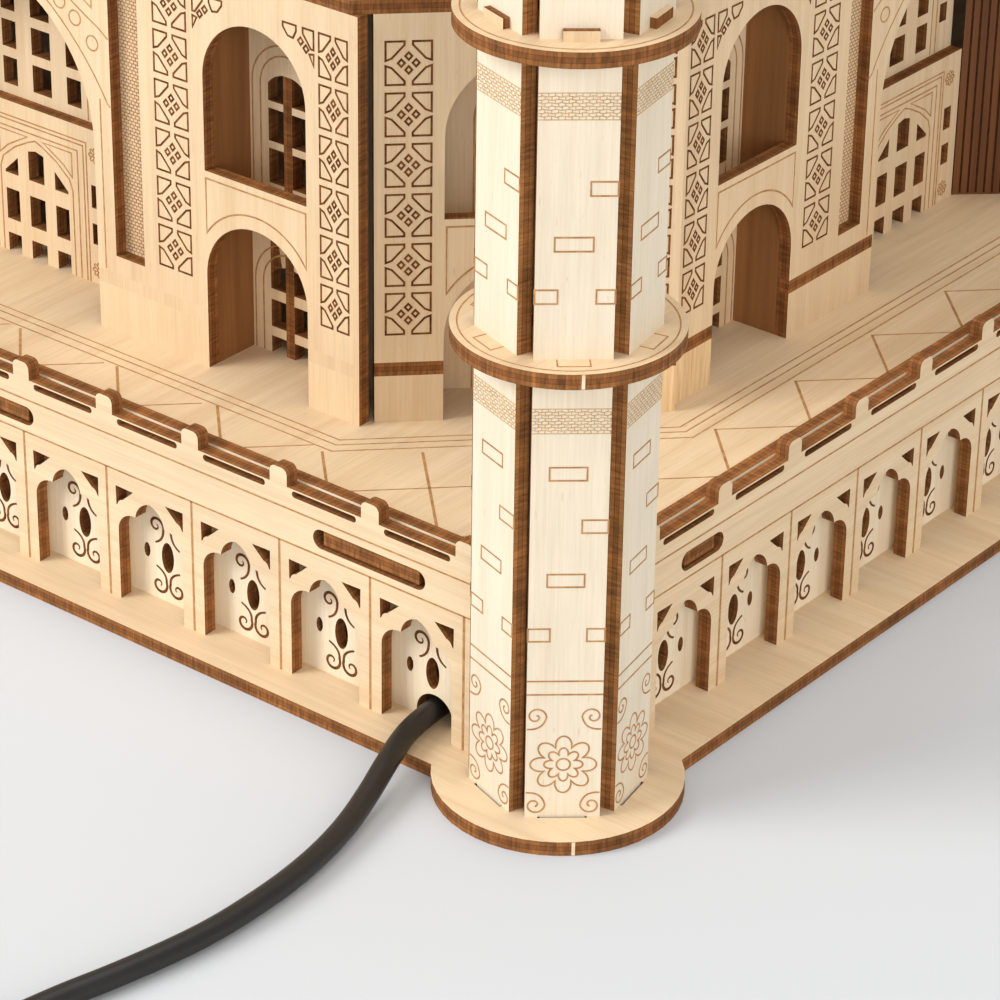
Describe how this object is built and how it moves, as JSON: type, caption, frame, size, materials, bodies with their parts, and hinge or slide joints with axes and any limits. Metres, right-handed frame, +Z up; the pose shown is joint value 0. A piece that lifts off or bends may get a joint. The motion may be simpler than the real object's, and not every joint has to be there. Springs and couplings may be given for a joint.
{
  "type": "miniature landmark model",
  "caption": "Laser-cut plywood miniature of a domed mausoleum on an arcaded podium with corner minarets, lit through a thin black lead.",
  "frame": {"origin": "centre of the base plate's underside", "axes": "+Z up; the front arcade, through which the lead leaves, faces -Y; +X is to its right"},
  "size_m": [0.274, 0.4008, 0.2385],
  "materials": {
    "face_ply": "bare basswood plywood, satin, laser-burnt brown edges",
    "pale_ply": "paler bare basswood plywood",
    "minaret_ply": "whitest bare basswood plywood",
    "dark_ply": "laser-burnt plywood edge",
    "circuit_board": "solder mask green",
    "lamp_lens": "clear epoxy",
    "wire_insulation": "gloss",
    "cable_jacket": "smooth black PVC",
    "black_plastic": "fine-textured black",
    "rocker_red": "gloss red",
    "usb_plug": "black overmould; the shell is bright nickel plate"
  },
  "bodies": {
    "model": {"base_plate": "face_ply", "deck_plate": "face_ply", "deck_supports": "face_ply", "arcade_wall_front": "face_ply", "arcade_wall_right": "face_ply", "arcade_wall_back": "face_ply", "arcade_wall_left": "face_ply", "arcade_screen_front": "pale_ply", "arcade_screen_right": "pale_ply", "arcade_screen_back": "pale_ply", "arcade_screen_left": "pale_ply", "minaret_fr_lower_panels": "minaret_ply", "minaret_br_lower_panels": "minaret_ply", "minaret_bl_lower_panels": "minaret_ply", "minaret_fl_lower_panels": "minaret_ply", "minaret_fr_upper_panels": "minaret_ply", "minaret_br_upper_panels": "minaret_ply", "minaret_bl_upper_panels": "minaret_ply", "minaret_fl_upper_panels": "minaret_ply", "minaret_fr_balconies": "face_ply", "minaret_br_balconies": "face_ply", "minaret_bl_balconies": "face_ply", "minaret_fl_balconies": "face_ply", "minaret_fr_lantern": "face_ply", "minaret_br_lantern": "face_ply", "minaret_bl_lantern": "face_ply", "minaret_fl_lantern": "face_ply", "facade_front": "face_ply", "facade_right": "face_ply", "facade_back": "face_ply", "facade_left": "face_ply", "chamfer_walls": "face_ply", "plinth_panels": "face_ply", "lower_band_strips": "dark_ply", "niche_window_walls": "face_ply", "portal_window_walls": "face_ply", "portal_door_panels": "face_ply", "portal_reveals": "dark_ply", "slot_backings": "face_ply", "roof_plate": "face_ply", "parapet_panels": "face_ply", "portal_top_boxes": "face_ply", "roof_pinnacles": "face_ply", "drum_panels": "face_ply", "drum_rings": "face_ply", "dome_ribs": "face_ply", "dome_rings": "face_ply", "dome_finial": "face_ply", "kiosk_plates": "face_ply", "kiosk_columns": "face_ply", "kiosk_domes": "face_ply", "led_board": "circuit_board", "led_lamps": "lamp_lens", "lead_clamp": "black_plastic", "inner_wires": "wire_insulation", "power_lead": "cable_jacket", "power_lead_coil": "cable_jacket", "switch_body": "black_plastic", "usb_plug": "usb_plug"},
    "rocker": {"switch_rocker": "rocker_red"}
  },
  "joints": [
    {"name": "rocker_tilt", "type": "hinge", "parent": "model", "child": "rocker", "pos_m": [0.037, -0.254, 0.0084], "axis": [0, 1, 0], "range_deg": [0, 16]}
  ]
}
